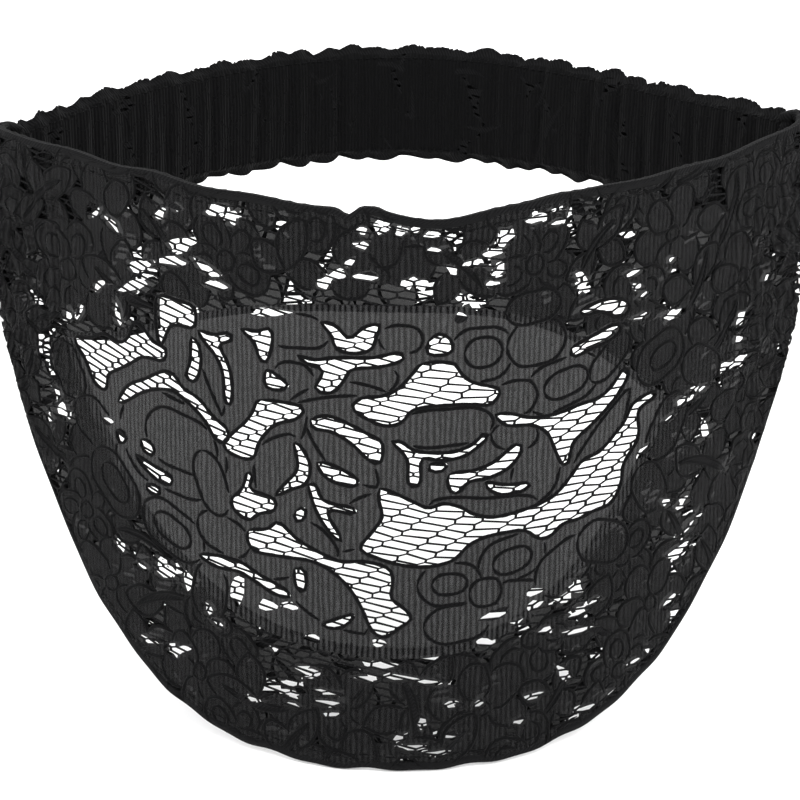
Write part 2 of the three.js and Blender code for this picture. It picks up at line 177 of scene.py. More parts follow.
# Where the clear middle is net: closed curves through (across, down) points
MIDDLE_NETS = [
    [(-89, 45.5), (-84, 44.5), (-79, 42), (-74, 43), (-71, 41), (-69, 37), (-66, 37.5), (-63, 40),
     (-59, 41), (-60, 44), (-66, 44.5), (-70, 47), (-74, 49.5), (-78, 52), (-79, 56), (-83, 55.5),
     (-86, 50.5)],
    [(-75, 58), (-71.5, 53), (-66, 50), (-60, 46.5), (-56.5, 46.5), (-54, 49), (-49, 50.5),
     (-45, 54), (-41, 56), (-41.5, 59.5), (-44.5, 59.5), (-47.5, 55.5), (-52, 52.5), (-58, 50.5),
     (-66, 53), (-72, 57)],
    [(-61, 28.5), (-55, 28.2), (-50, 28.8), (-50, 33.5), (-54, 34), (-57.5, 35), (-59, 38),
     (-61, 40.5), (-62, 34)],
    [(-51, 36), (-48.5, 38), (-48.3, 42), (-50, 46.5), (-53, 46), (-51.5, 42)],
    [(-49, 34), (-44.5, 34), (-40, 32.5), (-39.5, 34.5), (-43, 36), (-40.5, 40), (-39.5, 45),
     (-40, 50), (-41.8, 49), (-42, 43), (-44, 39), (-47, 36.5)],
    [(-37, 31), (-33, 31), (-29.5, 29.5), (-29, 33), (-30.5, 38), (-32.5, 37), (-33.5, 33.8)],
    [(-30.5, 39.5), (-28, 40.5), (-25, 42.5), (-27.5, 44), (-31, 43.5)],
    [(-32, 47), (-22, 47), (-23, 50), (-28, 52), (-31, 55), (-33, 58), (-34.5, 62), (-40, 62),
     (-42.5, 60), (-39, 56), (-36, 53), (-34, 50)],
    [(-36, 65.5), (-34.5, 66.5), (-35.5, 69.5), (-29, 70.5), (-29, 73.5), (-33, 75),
     (-36, 77.5), (-40, 75.5), (-40.5, 73), (-37.5, 70)],
    [(-36, 80), (-31, 78.5), (-28, 76), (-24, 79), (-20, 81), (-13, 83.5), (-8, 83), (-2, 84.5),
     (-1, 88), (-1.5, 92), (1, 94), (3.5, 97), (1, 99), (-3, 102), (-6, 100), (-8, 95), (-11, 90),
     (-15, 86.3), (-20, 84.3), (-27, 84.5), (-35, 84.5)],
    [(-17.5, 26.5), (-14, 27), (-11, 30), (-8, 27), (-4, 26), (-5, 29), (-6, 32), (-10, 33.2),
     (-14, 32.5), (-15, 29.5)],
    [(-23, 35), (-19, 35.6), (-14, 34.5), (-6, 34), (0, 32.5), (1, 34.2), (-4, 36), (-10.5, 37),
     (-12, 39.5), (-15, 43), (-19, 42.5), (-17, 38), (-21, 36.6)],
    [(6.5, 30), (9, 28.3), (11.5, 30), (11.5, 33), (6.5, 33)],
    [(5.5, 35), (12, 35.3), (13.5, 37.5), (16, 40), (20, 41.5), (23.3, 43), (21, 46.2),
     (17, 45.5), (10, 45.2), (3, 46), (1, 49), (-3, 50), (-7, 48.5), (-10.5, 46), (-8, 43.5),
     (-4, 43), (0, 41), (3, 37.5)],
    [(-20, 50), (-16, 48.5), (-11, 50), (-6, 52.5), (-3.5, 54), (-4, 59), (-7, 58), (-10, 55),
     (-15, 52.2), (-19, 52)],
    [(-1.5, 53.6), (1, 53.8), (4, 56), (12, 56.6), (17, 55), (19.3, 52.8), (20.3, 54), (15, 57.8),
     (9, 58.4), (5.2, 57.8), (5, 64), (2.3, 64), (2, 57.8)],
    [(7, 59.2), (10.8, 59.2), (10.5, 61), (7.2, 61)],
    [(-24, 56), (-22, 57), (-20, 61), (-21, 65.5), (-24, 67), (-29, 70), (-26, 66), (-23, 62)],
    [(-18.5, 60), (-14.5, 60.2), (-9, 63), (-10, 65), (-16, 63.6)],
    [(-20.5, 65.5), (-18.5, 65.5), (-17, 69), (-10, 70), (-10, 71.6), (-16.2, 71.3), (-12.5, 78),
     (-14.8, 77.5), (-18, 73), (-19.5, 69.5)],
    [(-23.5, 72.5), (-21.3, 71.3), (-21.5, 74.2), (-24, 75)],
    [(-4, 65), (-1, 66), (3, 68), (7, 70), (10, 69), (14, 70), (17, 72), (22, 73.5), (28, 73),
     (34, 72), (38, 70.5), (42, 67), (45, 64), (50, 63), (54, 60), (57.5, 57), (59.5, 53.5),
     (66, 52), (67, 53.6), (61.5, 55.5), (62, 61), (61, 64), (57.5, 68), (57, 73), (54, 77),
     (49, 77.5), (44, 78.5), (40, 78.5), (36.5, 81), (33, 80.5), (30, 78), (25, 77.7), (20, 78.2),
     (16, 80), (13, 83), (8, 84.3), (2, 84), (-4, 82.3), (-8.5, 80), (-6, 76), (-3.5, 72),
     (-4.3, 68)],
    [(11.5, 62), (17, 61.5), (22, 60), (27, 56.5), (28.8, 58), (26, 61.7), (21, 63.7), (16, 64.2),
     (14, 66.6), (11.8, 66)],
    [(20, 64.6), (25, 66), (31, 66.4), (29, 68.2), (24, 68.2), (21, 66.7)],
    [(22, 48.7), (26, 49), (31, 50.8), (38, 51), (44, 50), (50, 49.3), (54, 46.3), (56, 43.8),
     (58, 45.5), (55.3, 49.5), (52, 52.5), (47, 56), (44, 57.7), (42, 59.5), (41, 64),
     (39, 63.3), (37, 59), (35, 55), (31, 52.5), (25, 51.7)],
    [(41, 36), (48, 33.8), (53, 32.6), (55.3, 34.2), (52, 36.2), (46, 37.2), (42, 38.2)],
    [(43, 27.6), (49, 26.2), (54, 26.8), (57.5, 29), (56, 31.3), (53, 30.8), (49, 28.7),
     (45, 28.9)],
    [(-50, 89.5), (-44, 88.2), (-38, 88.3), (-33, 90.3), (-27, 92.3), (-25, 94.2), (-29, 94.4),
     (-34, 92.3), (-39, 90.8), (-45, 91.2)],
    [(-67.5, 65.3), (-64, 65.2), (-63.2, 68), (-66.5, 68)],
    [(-69.5, 69.6), (-64, 70.6), (-58, 71.8), (-58, 74), (-62, 74.2), (-67, 72)],
    [(-66, 76), (-61.5, 75.7), (-62, 77.8), (-65.5, 77.8)],
    [(-76, 65.4), (-73.5, 65), (-72.6, 67.2), (-75, 68.3)],
    [(-17.5, 100), (-13, 97.6), (-10, 96.4), (-10.5, 98.3), (-14, 100.7)],
    [(-24, 87), (-21.5, 87), (-21.3, 92), (-23.6, 92)],
]

# Petals and leaves of the clear middle. long, wide are sizes, turn is in degrees
# from level, rising to the right, and bend bows a shape sideways, as a share.
MIDDLE_PETALS = [
    # kind, across, down, long, wide, and turn and bend where they aren't 0
    ("petal", -58, 64, 33, 25, -6), ("petal", -55, 62.5, 22, 15, -6),
    ("leaf", -46.5, 44, 20, 5.6, -66, 0.1), ("petal", -24, 41.5, 10.5, 10),
    ("petal", -23, 30, 15, 8.5, 4, 0.05), ("petal", -7, 39.5, 14, 7.5, 12),
    ("petal", 0.5, 29.5, 10, 7), ("leaf", -13, 45.8, 28, 3.4, 9, 0.14),
    ("petal", 18.5, 34, 15.5, 13.5), ("petal", 19, 33.5, 9, 7.5), ("petal", 32, 33, 15, 11.5),
    ("petal", 39, 44, 21, 12.5, 12), ("petal", 40, 44, 12, 7, 12), ("petal", 27, 45.5, 11, 9),
    ("petal", 31, 24.5, 14, 8, 4), ("petal", 10.5, 50.6, 22.5, 9.5, 2),
    ("leaf", -22.5, 51.5, 12, 2.8, 78), ("leaf", -28.5, 62, 19, 10.5, 60),
    ("leaf", -12.5, 58.5, 21, 9, -38, 0.06), ("leaf", -8.5, 73.5, 17, 9.5, 62),
    ("leaf", -20, 78.5, 16, 7, -28), ("petal", 7.5, 65, 10.5, 9), ("petal", 33, 62.5, 19, 13, 74),
    ("petal", 20, 70.3, 26, 7, -5, -0.06), ("petal", 27, 54.5, 12, 7, -12),
    ("leaf", 50.5, 56.5, 22, 6.5, 44, -0.1), ("leaf", -18.5, 92, 30, 14, -38, 0.04),
    ("leaf", -32, 87, 17, 7.5, -8), ("petal", 12, 89, 15, 11), ("petal", 12, 89, 8.5, 5.5),
    ("petal", 27, 84.5, 17, 12, 12), ("petal", 27, 85, 10, 6.5, 12),
    ("petal", 28.5, 95.5, 15, 11, -8), ("petal", 14, 99, 16, 10, 5),
    ("petal", 41, 89.5, 17, 13, 30), ("petal", 20.5, 92, 8, 7.5), ("petal", -47, 98, 15, 10.5, 80),
    ("petal", -58, 85.5, 20, 13, -20), ("petal", -58, 85.5, 12, 7, -20),
    ("petal", -43, 82.5, 15, 10, -15), ("petal", -46, 70.5, 16, 9, -70),
    ("petal", -78, 35, 15, 10, 30), ("petal", -92, 54, 15, 10, -62),
    ("petal", -83, 66, 16, 12, -35), ("petal", -77, 79, 19, 13, -42),
    ("petal", -77, 79, 11, 7, -42), ("petal", 52, 40.5, 14, 7, 40), ("petal", 52, 86, 16, 11, -20),
    ("petal", 71, 62, 17, 11, 60), ("petal", 68, 44, 16, 12, 20), ("petal", 69, 44, 9, 6, 20),
    ("petal", 82, 50, 14, 10, -30), ("petal", 66, 76, 14, 10, -60),
]

# Openings that show through both layers of the doubled lace
SPOTS = [
    # across, down, long, wide, and turn where it isn't 0
    (-43.5, 4.8, 7, 2.6, 20), (-39.8, 6.2, 3.4, 3), (-60, 9, 5, 2, 35), (-55, 6.5, 3, 2),
    (-82, 13, 5, 3, 40), (-76, 15, 6.5, 2.6, -25), (-54, 15, 8, 3.2, 20), (-47, 19, 8, 2.6, -20),
    (-57, 19.5, 9, 2.2, 10), (-67, 23, 8, 2.4, 22), (-44, 22.5, 7, 2, 5), (-30, 26, 9, 1.8, 8),
    (-8.3, 5, 2.2, 2), (-8.5, 8.3, 3.4, 1.8), (-4, 4.2, 3.4, 2.8), (0.5, 5, 3, 2, 20),
    (3.5, 4.6, 2, 1.8), (7, 6, 3.6, 1.8), (7.5, 9.5, 3.2, 1.6), (-17, 17.6, 3.6, 2.4, 40),
    (-13.8, 15.6, 4.4, 2, 22), (-11, 12.4, 3, 1.4, 45), (-7.4, 15.4, 5.4, 2, 3),
    (2, 16.8, 3.6, 2.4, 35), (5, 17.2, 3.2, 2.4, -50), (16.5, 12.8, 4.4, 1.8, 5), (21, 11, 5, 1.8),
    (11.8, 14.2, 3, 1.6, -50), (22.5, 15, 3.6, 2.4, 40), (20.8, 18, 3, 1.6),
    (24, 7.5, 4.4, 3.6, 60), (31.5, 4.2, 5.4, 2.4), (36.5, 2.9, 4, 1.6), (37, 5.9, 4, 1.6),
    (40, 4.3, 1.8, 2.6), (14, 21, 3, 1.6, -40), (17, 22.6, 3.6, 1.4, -50), (13.6, 25, 2.6, 2.2),
    (44, 21, 6, 2.6, -60), (58.5, 22, 5.4, 1.8), (60, 25.5, 4, 1.8, -20), (62, 28, 4, 1.6, 10),
    (61.5, 33, 5.4, 1.6), (72.5, 35, 7, 2.2), (71, 21.5, 3, 1.8), (102, 24, 4.5, 2.2, 30),
    (104.5, 34, 4.4, 2.2, 30), (96, 41.5, 7, 3, 20), (95, 52.8, 9, 2.6, 5), (96, 47.5, 4, 1.8),
    (76.5, 57.6, 4.6, 2.4), (84, 56.3, 4.4, 1.8, 5), (85.8, 67.3, 5.6, 2.4, -65),
    (64, 66.5, 5.4, 2, 20), (72.5, 60.5, 5, 1.6, 15), (104, 75, 3.2, 2.6, -20),
    (94.5, 78.5, 5.6, 2.4, 38), (72.5, 82, 4, 2, -20), (78, 84, 5, 2, 15), (84, 88.5, 5.4, 1.8, 40),
    (80, 91.5, 8, 2.6, 25), (78, 96, 9, 3, 10), (-62, 97, 5.6, 5), (-69, 98.4, 4, 2),
    (-54.5, 98, 3.4, 4.6), (-39, 95.5, 3.4, 8, -12), (-31, 97.6, 4.6, 2.6, 10),
    (-25.5, 96.6, 4, 1.8), (-48, 103, 3, 3.4), (-45.4, 106, 4.2, 2.2, -10), (-67.5, 117.4, 7, 2, 5),
    (-59.5, 117.4, 4, 4, 30), (-56, 116, 6, 1.6, 30), (-21, 113, 6, 2.4), (-25.5, 117, 5, 1.7),
    (-16.5, 117.6, 7, 1.7), (-26, 119.7, 5.6, 1.7, -8), (-16.5, 120.2, 7.4, 1.7, 4),
    (-25, 122.2, 4.4, 1.5), (-15.5, 123, 4, 1.6, 10), (-36, 123, 3.4, 2.2), (-4, 109.6, 8, 1.8),
    (-7.5, 113, 5.6, 1.7), (1, 112.4, 8, 1.8, -4), (7.5, 113.6, 5, 1.6, -5), (-4.2, 103.4, 2.8, 2),
    (-20, 104, 4, 2), (1, 128, 4.6, 1.6, 42), (4, 130.6, 7, 2), (10, 132.3, 7, 1.7),
    (13, 128, 3.2, 2.2), (6, 124, 2, 3.4), (13, 119.6, 4.4, 1.7), (19.5, 120.6, 2.8, 2.2),
    (21, 105, 5, 2.4, -18), (23, 98, 6.4, 2.2, 12), (33, 94.2, 4.4, 1.8), (33.5, 98, 4.6, 3),
    (42, 98, 4.4, 3), (45, 96, 5, 3, -40), (45, 102.8, 6, 1.8, 15), (50.5, 101, 5.4, 1.8, 8),
    (36.5, 105, 4.4, 2), (46, 107.4, 10, 1.9, -4), (29, 101.2, 4, 1.6), (42, 117.6, 6, 2.2, -50),
    (34, 121.4, 5.6, 2.2), (30, 127, 3.4, 2.2), (49, 128.7, 7, 1.9, -8), (56, 127.4, 4.6, 2, 12),
    (63.5, 121, 6, 1.9), (68.5, 119, 3.8, 2, -40), (75.5, 108.6, 6, 2.6, 15), (78, 113, 5, 2.2),
    (-98, 61.8, 3.6, 4.6), (-95.3, 65.6, 4.6, 4.2), (-99.6, 68.2, 3.4, 2), (-92, 40.6, 3, 4),
    (-87.6, 38.4, 6.5, 2, 62), (-75, 36, 3, 6.4, 10), (-79, 64, 3.4, 1.7, 10), (-77, 95.3, 3, 3.4),
    (-70, 28.5, 9, 2, 25), (-81, 31, 6, 1.8, 35),
]

# How far below the front hem the floor lies
FLOOR_GAP = 0.6

# The camera stands where the photograph's stood
CAMERA_DISTANCE = 700.0
CAMERA_SIDE = 0.3
CAMERA_ELEVATION = math.radians(16.57)
CAMERA_PITCH = math.radians(21.97)
CAMERA_ROLL = math.radians(0.39)
CAMERA_LENS = 133.3


# The loop's plan curve
def plan_xy(angle):
    s, c = np.sin(angle), np.cos(angle)
    return HALF_WIDTH * s, -HALF_DEPTH * c * (1 - LENS * s * s)


def lengths_along(line):
    """How far along a line each of its points lies."""
    return np.concatenate([[0], np.cumsum(np.hypot(*np.diff(line, axis=0).T))])


PLAN_ANGLES = np.linspace(0, math.pi, PLAN_STEPS + 1)
PLAN_LENGTHS = lengths_along(np.column_stack(plan_xy(PLAN_ANGLES)))
HALF_LOOP = PLAN_LENGTHS[-1]
SEAM_LENGTH = float(np.interp(SEAM_ANGLE, PLAN_ANGLES, PLAN_LENGTHS))
BAND_START = SEAM_LENGTH + BAND_GAP
BAND_LENGTH = 2 * (HALF_LOOP - BAND_START)
BAND_HEIGHT = 2 * FRILL_HEIGHT + ELASTIC_HEIGHT + CASING_EASE


def smooth(share):
    share = np.clip(share, 0, 1)
    return share * share * (3 - 2 * share)


def sag_at(length):
    """How far the loop hangs lower near its seams."""
    near = np.exp(-(((np.abs(length) - SEAM_LENGTH) / SAG_REACH) ** 2))
    return near * np.where(np.asarray(length) < 0, LEFT_SAG, -RIGHT_RISE)


def place(length, drop, inward):
    """Points at a length round the loop, a drop below the rim and a depth inside it."""
    angle = np.sign(length) * np.interp(np.abs(length), PLAN_LENGTHS, PLAN_ANGLES)
    x, y = plan_xy(angle)
    s, c = np.sin(angle), np.cos(angle)
    along_x = HALF_WIDTH * c
    along_y = HALF_DEPTH * s * (1 - LENS * s * s + 2 * LENS * c * c)
    speed = np.hypot(along_x, along_y)
    return np.column_stack(
        [x - along_y / speed * inward, y + along_x / speed * inward, -drop - sag_at(length)]
    )


def height_at(length):
    taper = np.minimum(np.abs(length) / (SEAM_LENGTH - SEAM_RUN), 1)
    return SEAM_HEIGHT + (FRONT_HEIGHT - SEAM_HEIGHT) * (1 - taper**TAPER_POWER)


def gathered_at(length):
    """How much the panel is drawn together: from none in front to one at the seams."""
    return np.clip(np.abs(length) - SEAM_LENGTH + PLEAT_REACH, 0, PLEAT_REACH) / PLEAT_REACH


def drape_at(reach, share):
    """Upright folds near the seams, none of them at the rim, the hem or the seam itself."""
    near = smooth((reach - DRAPE_START) / 12) * smooth((SEAM_LENGTH - reach) / 5)
    fall = np.sin(np.pi * np.clip(share, 0, 1) ** 0.7)
    wave = np.cos(2 * np.pi * reach / DRAPE_PITCH + 1.1 * np.sin(5 * share) + reach / 9)
    return DRAPE_DEPTH * near * fall * (0.5 + 0.5 * wave)


def pleat_at(length, share):
    """How far the pleats stand out: the main folds, and finer ones that drift along them."""
    fade = gathered_at(length) ** PLEAT_FADE
    main = 0.5 - 0.5 * np.cos(2 * np.pi * PLEATS * share)
    drift = 0.6 * np.sin(length / 9.0)
    fine = 0.5 - 0.5 * np.cos(2 * np.pi * FINE_PLEATS * share + drift)
    pleats = fade * ((PLEAT_DEPTH - FINE_PLEAT_DEPTH) * main + FINE_PLEAT_DEPTH * fine)
    return pleats + drape_at(np.abs(length), share)


def panel_surface(points, depth):
    """Flat lace points on the panel, at a depth inside its outer face."""
    length, drop = points[:, 0], points[:, 1]
    share = np.clip(drop / height_at(length), 0, 1)
    lumps = 0.22 * np.sin(length / 7.3 + 0.4) * np.sin(drop / 11.0 + 1.1)
    return place(length, drop, depth + lumps - pleat_at(length, share))


# Petal and leaf outlines
def turned(points, degrees):
    """Flat points turned about the origin. Down counts as positive, so a rise is a minus."""
    c, s = math.cos(math.radians(degrees)), math.sin(math.radians(degrees))
    return np.column_stack([points[:, 0] * c + points[:, 1] * s, points[:, 1] * c - points[:, 0] * s])


def off_centre(across, down, reach, degrees):
    """The point at a reach from a flower's middle."""
    return turned(np.array([[reach, 0]]), degrees)[0] + (across, down)


def outline_of(kind, across, down, long, wide, turn=0, bend=0):
    """A closed petal or leaf, as a chart's row gives it."""
    u = np.linspace(0, 1, max(8, int(long * 0.8)))
    half = np.sin(np.pi * u)
    if kind == "leaf":
        half **= 0.85
    else:
        u = 0.5 - 0.5 * np.cos(np.pi * u)
        half *= 1 + 0.07 * np.sin(9 * u)
    bow = bend * long * (1 - (2 * u - 1) ** 2)
    along = (u - 0.5) * long
    upper = np.column_stack([along, -bow - half * wide / 2])
    lower = np.column_stack([along, -bow + half * wide / 2])[::-1][1:-1]
    return turned(np.vstack([upper, lower]), turn) + (across, down)


def spot_outline(across, down, long, wide, turn=0):
    """A small ragged opening between petals."""
    angle = np.linspace(0, 2 * np.pi, 11)[:-1]
    ragged = 1 + 0.16 * np.sin(3 * angle + across) + 0.1 * np.sin(5 * angle + down)
    x = 0.58 * long * np.cos(angle) * ragged
    y = 0.58 * wide * np.sin(angle) * np.abs(np.sin(angle)) ** 0.2 * ragged
    return turned(np.column_stack([x, y]), turn) + (across, down)


def smooth_loop(points):
    """A closed curve through the points."""
    cuts = 3
    p = np.array(points, float)
    before, after, beyond = np.roll(p, 1, 0), np.roll(p, -1, 0), np.roll(p, -2, 0)
    parts = []
    for t in np.arange(cuts) / cuts:
        parts.append(
            p
            + 0.5 * t * (after - before)
            + t * t * (before - 2.5 * p + 2 * after - 0.5 * beyond)
            + t**3 * 0.5 * (beyond - before + 3 * (p - after))
        )
    return np.stack(parts, 1).reshape(-1, 2)


def rose(across, down, size, turn):
    """Five round petals about a bud."""
    rows = []
    for k in range(5):
        x, y = off_centre(across, down, 0.5 * size, turn + 72 * k)
        rows.append(("petal", x, y, 0.86 * size, 0.74 * size, turn + 72 * k))
        rows.append(("petal", x, y, 0.46 * size, 0.36 * size, turn + 72 * k))
    rows.append(("petal", across, down, 0.4 * size, 0.38 * size, turn))
    return rows


def bloom(across, down, size, turn):
    """Six plain petals, large and small in turn."""
    rows = []
    for k in range(6):
        long = size * (0.9 if k % 2 == 0 else 0.72)
        x, y = off_centre(across, down, 0.52 * size, turn + 60 * k)
        rows.append(("petal", x, y, long, 0.8 * long, turn + 60 * k, 0.05))
    rows.append(("petal", across, down, 0.36 * size, 0.3 * size, turn))
    return rows


def spray(across, down, size, turn):
    """Four leaves on a short stem."""
    rows = []
    for lean, reach, long in ((78, 0.42, 0.8), (-70, 0.42, 0.8), (6, 0.55, 1.05), (170, 0.5, 0.9)):
        x, y = off_centre(across, down, reach * size, turn + lean)
        rows.append(("leaf", x, y, long * size, 0.56 * size, turn + lean, 0.06))
    rows.append(("leaf", across, down, 1.5 * size, 0.12 * size, turn + 5, 0.1))
    return rows


def allover(outline, pitch, rng):
    """Blooms, sprays and roses in turn over a whole sheet, each a little out of line."""
    low, high = outline.min(0), outline.max(0)
    step_x, step_y = pitch, FLOWER_ROW_SHARE * pitch
    rows = []
    for j in range(int((high[1] - low[1]) / step_y) + 2):
        for i in range(int((high[0] - low[0]) / step_x) + 2):
            shift_x, shift_y = rng.uniform(-FLOWER_JITTER, FLOWER_JITTER, 2)
            x = low[0] + (i + 0.5 * (j % 2) + shift_x) * step_x
            y = low[1] + (j + shift_y) * step_y
            make = (bloom, spray, rose, spray)[(i + 2 * j) % 4]
            flower = make(x, y, FLOWER_SIZE * rng.uniform(0.9, 1.2), rng.uniform(0, 360))
            rows += [row for row in flower if inside(outline_of(*row), outline).any()]
    return rows


def inside(points, loop):
    """Which points lie inside a closed loop."""
    low, high = loop.min(0), loop.max(0)
    hit = np.zeros(len(points), bool)
    near = ((points >= low) & (points <= high)).all(1)
    if not near.any():
        return hit
    x, y = points[near, 0][:, None], points[near, 1][:, None]
    a, b = loop, np.roll(loop, -1, 0)
    crosses = (a[:, 1] > y) != (b[:, 1] > y)
    rise = np.where(b[:, 1] == a[:, 1], 1e-9, b[:, 1] - a[:, 1])
    at = a[:, 0] + (y - a[:, 1]) * (b[:, 0] - a[:, 0]) / rise
    hit[near] = (crosses & (x < at)).sum(1) % 2 == 1
    return hit


def in_any(points, loops):
    hit = np.zeros(len(points), bool)
    for loop in loops:
        hit |= inside(points, loop)
    return hit


NET_LOOPS = [smooth_loop(points) for points in MIDDLE_NETS]
SPOT_LOOPS = [spot_outline(*row) for row in SPOTS]


# The net ground
def net_cells(outline, solids, nets, length, rise, bar, rising):
    """Cells in leaning columns, wherever part of one is not in close stitch."""
    low, high = outline.min(0), outline.max(0)
    middle = (low + high) / 2
    reach = np.hypot(*(high - low)) / 2 + length
    columns, rows = int(reach / length), int(reach / rise)
    j, i = np.meshgrid(np.arange(-rows, rows), np.arange(-columns, columns), indexing="ij")
    wraps = np.floor(NET_LEAN * j * rise / length)
    down = (j + 0.5 * ((i + wraps) % 2)) * rise
    centre = np.column_stack([((i + wraps) * length - NET_LEAN * down).ravel(), down.ravel()])
    half_length, half_rise = (length + CELL_POINT - bar) / 2, (rise - bar) / 2
    side = half_length - CELL_POINT
    u = np.array([half_length, side, -side, -half_length, -side, side])
    v = np.array([0, 1, 1, 0, -1, -1]) * half_rise
    shape = np.column_stack([u - NET_LEAN * v, v])
    flat = turned((centre[:, None] + shape[None]).reshape(-1, 2), -rising)
    drift = np.column_stack(
        [
            0.7 * np.sin(flat[:, 1] / 4.1) + 0.4 * np.sin(flat[:, 0] / 2.3 + flat[:, 1] / 1.9),
            0.8 * np.sin(flat[:, 0] / 11.7) + 0.2 * np.sin(1.7 * flat[:, 1] + 0.4 * flat[:, 0]),
        ]
    )
    cells = (flat + drift + middle).reshape(-1, 6, 2)
    box = np.array([low, (high[0], low[1]), high, (low[0], high[1])])
    cells = cells[inside(cells.mean(1), box)]
    probe = np.concatenate([cells, cells.mean(1, keepdims=True)], 1).reshape(-1, 2)
    open_here = inside(probe, outline) & (~in_any(probe, solids) | in_any(probe, nets))
    return list(cells[open_here.reshape(-1, 7).any(1)])


# Sheets of lace
def signed_area(loop):
    """The area inside a loop, above zero where it runs counter-clockwise."""
    x, y = loop.T
    return (np.dot(x, np.roll(y, -1)) - np.dot(np.roll(x, -1), y)) / 2


def one_way(loop):
    return loop if signed_area(loop) > 0 else loop[::-1]


def lace_loops(outline, petals, bands, nets, rising, net_size, zones=()):
    """Every loop of a sheet, by what it stands for. Later petals lie over earlier ones."""
    loops = {
        "cloth": [outline],
        "petal": [outline_of(*row) for row in petals],
        "band": bands,
        "zone": list(zones),
        "net": nets,
    }
    solids = loops["petal"] + bands + loops["zone"]
    loops["cell"] = net_cells(outline, solids, nets, *net_size, rising)
    loops["dark_petal"] = [row[4] < STEM_WIDTH for row in petals]
    return loops


def triangulated(loops, grid):
    """The cloth's points and triangles, and the material slot of each triangle."""
    kinds, numbers, rings = [], [], []
    for kind in ("cloth", "petal", "band", "zone", "net", "cell"):
        for number, loop in enumerate(loops[kind]):
            kinds.append(kind)
            numbers.append(number)
            rings.append(one_way(loop))
    points = [Vector(p) for loop in rings for p in loop] + [Vector(p) for p in grid]
    ends = np.cumsum([len(loop) for loop in rings])
    faces = [list(range(end - len(loop), end)) for loop, end in zip(rings, ends)]
    found = delaunay_2d_cdt(points, [], faces, 0, 1e-4, True)
    flat = np.array([tuple(p) for p in found[0]])
    kept, slots = [], []
    for triangle, owners in zip(found[2], found[5]):
        within = {kinds[k] for k in owners}
        stitched = bool(within & {"petal", "band", "zone"}) and "net" not in within
        if "cloth" in within and (stitched or "cell" not in within):
            top = max((numbers[k] for k in owners if kinds[k] == "petal"), default=-1)
            dark = "band" in within or (top >= 0 and loops["dark_petal"][top])
            kept.append(triangle)
            # Close stitch outside the zones, with a facing behind it, takes the darker copy: painted shade
            if dark or not stitched:
                slots.append(THREAD_SLOT)
            elif loops["zone"] and "zone" not in within:
                slots.append(BACKED_SHADE_SLOT)
            else:
                slots.append(SHEER_SLOT)
    return flat, np.array(kept), np.array(slots)


def new_object(name, data):
    obj = bpy.data.objects.new(name, data)
    bpy.context.collection.objects.link(obj)
    return obj


def mesh_object(name, points, faces, slots, uvs, materials, rounded=False):
    mesh = bpy.data.meshes.new(name)
    mesh.from_pydata((np.asarray(points) * MM).tolist(), [], faces)
    layer = mesh.uv_layers.new(name="lace")
    corner_vertex = np.zeros(len(mesh.loops), np.int32)
    mesh.loops.foreach_get("vertex_index", corner_vertex)
    layer.data.foreach_set("uv", np.asarray(uvs, np.float32)[corner_vertex].ravel())
    mesh.polygons.foreach_set("material_index", np.asarray(slots, np.int32))
    mesh.polygons.foreach_set("use_smooth", np.full(len(faces), rounded))
    for mat in materials:
        mesh.materials.append(mat)
    mesh.update()
    obj = new_object(name, mesh)
    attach(obj, "root")
    return obj


def lace_sheet(name, loops, grid, surface, depth, materials, runs_up=False):
    """A pierced sheet with an outer and an inner face and closed edges."""
    flat, triangles, stitch = triangulated(loops, grid)
    used, triangles = np.unique(triangles, return_inverse=True)
    flat, triangles = flat[used], triangles.reshape(-1, 3)
    a, b, c = (flat[triangles[:, k]] for k in range(3))
    area = (b[:, 0] - a[:, 0]) * (c[:, 1] - a[:, 1]) - (c[:, 0] - a[:, 0]) * (b[:, 1] - a[:, 1])
    wrong = (area > 0) != runs_up
    triangles[wrong] = triangles[wrong][:, ::-1]
    count = len(flat)
    points = np.vstack([surface(flat, depth), surface(flat, depth + CLOTH)])
    edges = np.concatenate([triangles[:, [0, 1]], triangles[:, [1, 2]], triangles[:, [2, 0]]])
    owner = np.tile(np.arange(len(triangles)), 3)
    key = edges.min(1) * count + edges.max(1)
    _, first, uses = np.unique(key, return_index=True, return_counts=True)
    rim = first[uses == 1]
    walls = [[int(q), int(p), int(p) + count, int(q) + count] for p, q in edges[rim]]
    faces = triangles.tolist() + (triangles[:, ::-1] + count).tolist() + walls
    slots = np.concatenate([stitch, stitch, stitch[owner[rim]]])
    return mesh_object(name, points, faces, slots, np.vstack([flat, flat]) / UV_UNIT, materials)


# Raised outline cords
def runs_where(line, keep):
    """The stretches of an open line that are kept."""
    runs = np.split(np.arange(len(line)), np.flatnonzero(np.diff(keep)) + 1)
    return [line[r] for r in runs if keep[r[0]] and len(r) > 2]


def points_at(line, along, at):
    return np.column_stack([np.interp(at, along, line[:, k]) for k in range(2)])


def resampled(line):
    """Even points on a line, and how far along it each lies."""
    along = lengths_along(line)
    at = np.linspace(0, along[-1], max(3, int(along[-1] / CORD_STEP) + 1))
    return points_at(line, along, at), at


def closed_line(loop):
    return resampled(np.vstack([loop, loop[:1]]))[0]


def fattened(loop):
    """A loop moved outwards by the cords' clearance."""
    loop = one_way(loop)
    along = np.roll(loop, -1, 0) - np.roll(loop, 1, 0)
    out = np.column_stack([along[:, 1], -along[:, 0]])
    return loop + CORD_CLEARANCE * out / np.linalg.norm(out, axis=1, keepdims=True)


